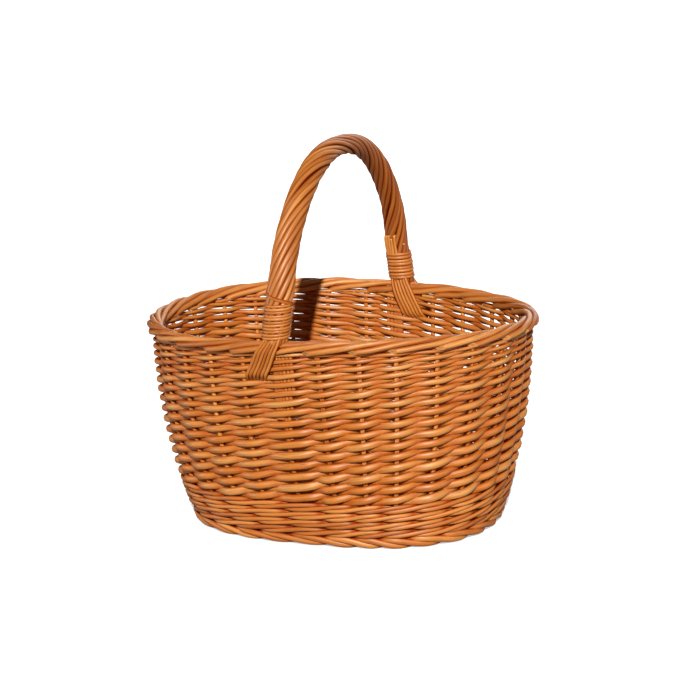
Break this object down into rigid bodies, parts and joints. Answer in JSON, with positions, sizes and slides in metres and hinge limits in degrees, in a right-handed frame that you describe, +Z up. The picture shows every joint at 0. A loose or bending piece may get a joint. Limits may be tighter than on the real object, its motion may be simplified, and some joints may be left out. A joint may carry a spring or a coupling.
{
  "type": "woven market basket",
  "caption": "Oval willow shopping basket with an open top, randed sides, a waled foot, a rolled border and one fixed roped handle across the middle.",
  "frame": {"origin": "on the floor under the middle of the basket", "axes": "+X along the oval's length, +Y across it through the handle's feet, +Z up"},
  "size_m": [0.41, 0.3548, 0.3973],
  "materials": {
    "weaver": "varnished buff willow rods, satin with small highlights",
    "wale_rod": "varnished buff willow rods, satin",
    "stake": "varnished buff willow rods, satin",
    "border_rod": "varnished buff willow rods, satin, with pale cut tips",
    "base_stick": "thick buff willow sticks, satin",
    "handle_rod": "varnished buff willow rods, satin",
    "binding_rod": "thin varnished buff willow rod, glossy on the outside of the turns"
  },
  "bodies": {
    "root": {"base_long_stick_1": "base_stick", "base_long_stick_2": "base_stick", "base_long_stick_3": "base_stick", "base_short_stick_1": "base_stick", "base_short_stick_2": "base_stick", "base_short_stick_3": "base_stick", "base_short_stick_4": "base_stick", "base_short_stick_5": "base_stick", "base_short_stick_6": "base_stick", "base_short_stick_7": "base_stick", "base_weave": "weaver", "border": "border_rod", "far_collar": "binding_rod", "far_inner_lashing": "handle_rod", "far_outer_lashing": "handle_rod", "foot_wale": "wale_rod", "handle_bow": "handle_rod", "handle_roping": "handle_rod", "near_collar": "binding_rod", "near_inner_lashing": "handle_rod", "near_outer_lashing": "handle_rod", "side_wale": "wale_rod", "siding": "weaver", "stake_01": "stake", "stake_02": "stake", "stake_03": "stake", "stake_04": "stake", "stake_05": "stake", "stake_06": "stake", "stake_07": "stake", "stake_08": "stake", "stake_09": "stake", "stake_10": "stake", "stake_11": "stake", "stake_12": "stake", "stake_13": "stake", "stake_14": "stake", "stake_15": "stake", "stake_16": "stake", "stake_17": "stake", "stake_18": "stake", "stake_19": "stake", "stake_20": "stake", "stake_21": "stake", "stake_22": "stake", "stake_23": "stake", "stake_24": "stake", "stake_25": "stake", "stake_26": "stake", "stake_27": "stake", "stake_28": "stake"}
  },
  "joints": []
}
